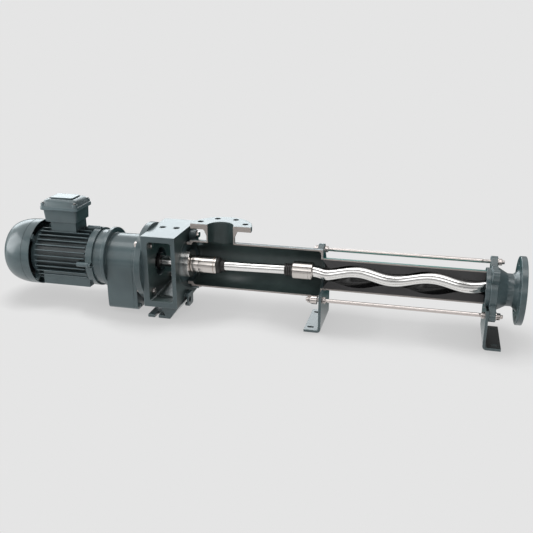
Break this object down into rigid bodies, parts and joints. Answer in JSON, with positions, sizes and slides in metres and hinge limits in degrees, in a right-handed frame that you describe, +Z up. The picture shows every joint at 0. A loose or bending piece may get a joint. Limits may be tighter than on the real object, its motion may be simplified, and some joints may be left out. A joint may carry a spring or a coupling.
{
  "type": "progressive cavity pump",
  "caption": "Progressive cavity pump with gear motor, half cut away: a screw rotor turns in a rubber-lined stator behind a suction casing with universal joints.",
  "frame": {"origin": "on the floor below the middle of the whole unit", "axes": "+X along the pump axis from the motor to the discharge flange, +Y away from the cut side, +Z up"},
  "size_m": [1.638, 0.25, 0.3595],
  "materials": {
    "paint": "satin",
    "drive_paint": "satin",
    "steel": "fine turned",
    "polished_steel": "polished",
    "zinc_steel": "zinc plated",
    "rubber": "matt",
    "ceramic": "lapped",
    "bearing_steel": "ground",
    "gear_steel": "ground",
    "lamination": "stacked sheet",
    "copper_winding": "varnished",
    "plastic": "moulded"
  },
  "bodies": {
    "frame": {"motor_fan_cowl": "drive_paint", "motor_frame": "drive_paint", "motor_rear_shield": "drive_paint", "motor_front_shield": "drive_paint", "motor_stator_core": "lamination", "motor_windings": "copper_winding", "terminal_box": "drive_paint", "terminal_box_lid": "drive_paint", "terminal_box_screws": "zinc_steel", "terminal_block": "plastic", "cable_entry_plugs": "plastic", "gearbox_adapter": "drive_paint", "gearbox_housing": "drive_paint", "gearbox_cover": "drive_paint", "socket_screws": "zinc_steel", "oil_plugs": "zinc_steel", "bearing_outer_rings": "bearing_steel", "gearbox_shaft_seals": "rubber", "gear_flange_bolts": "zinc_steel", "gear_flange_nuts": "zinc_steel", "lantern": "paint", "casing_bolts": "zinc_steel", "seal_housing": "paint", "seal_cover": "steel", "stationary_seal_ring": "ceramic", "suction_casing": "paint", "casing_plug": "zinc_steel", "stator_tube": "steel", "stator_rubber": "rubber", "stator_end_ring": "paint", "tie_rods": "zinc_steel", "tie_rod_nuts": "zinc_steel", "tie_rod_spacers": "zinc_steel", "support_foot_suction": "paint", "support_foot_discharge": "paint", "discharge_branch": "paint"},
    "motor_rotor": {"motor_shaft": "gear_steel", "motor_rotor_core": "lamination", "motor_fan": "plastic", "motor_bearing_inner_rings": "bearing_steel", "input_pinion": "gear_steel"},
    "layshaft": {"layshaft": "gear_steel", "layshaft_wheel": "gear_steel", "layshaft_bearing_inner_rings": "bearing_steel"},
    "drive_shaft": {"output_wheel": "gear_steel", "output_shaft": "gear_steel", "output_bearing_inner_rings": "bearing_steel", "splash_ring": "rubber", "plug_in_shaft": "steel", "rotating_seal_ring": "ceramic", "drive_joint_head": "steel", "drive_joint_pin": "steel", "drive_joint_sleeve": "steel"},
    "orbit": {"drive_boot": "rubber", "rotor_boot": "rubber"},
    "coupling": {"coupling_rod": "steel"},
    "rotor": {"rotor": "polished_steel", "rotor_joint_head": "steel", "rotor_joint_pin": "steel", "rotor_joint_sleeve": "steel"}
  },
  "joints": [
    {"name": "motor_spin", "type": "hinge", "parent": "frame", "child": "motor_rotor", "pos_m": [-0.679, 0, 0.162], "axis": [1, 0, 0], "continuous": true},
    {"name": "layshaft_spin", "type": "hinge", "parent": "frame", "child": "layshaft", "pos_m": [-0.441, 0, 0.092], "axis": [1, 0, 0], "continuous": true},
    {"name": "drive_shaft_spin", "type": "hinge", "parent": "frame", "child": "drive_shaft", "pos_m": [-0.319, 0, 0.162], "axis": [1, 0, 0], "continuous": true},
    {"name": "rotor_orbit", "type": "hinge", "parent": "frame", "child": "orbit", "pos_m": [-0.138, 0, 0.162], "axis": [1, 0, 0], "continuous": true},
    {"name": "coupling_spin", "type": "hinge", "parent": "orbit", "child": "coupling", "pos_m": [-0.138, 0, 0.162], "axis": [0.9996, -0.0095, 0.0261], "continuous": true},
    {"name": "rotor_spin", "type": "hinge", "parent": "orbit", "child": "rotor", "pos_m": [0.168, -0.00291, 0.16999], "axis": [1, 0, 0], "continuous": true}
  ],
  "couplings": [
    {"joint": "layshaft_spin", "follows": "motor_spin", "ratio": -0.36585},
    {"joint": "drive_shaft_spin", "follows": "motor_spin", "ratio": 0.15947},
    {"joint": "rotor_orbit", "follows": "motor_spin", "ratio": -0.15947},
    {"joint": "coupling_spin", "follows": "motor_spin", "ratio": 0.31895},
    {"joint": "rotor_spin", "follows": "motor_spin", "ratio": 0.31895}
  ]
}
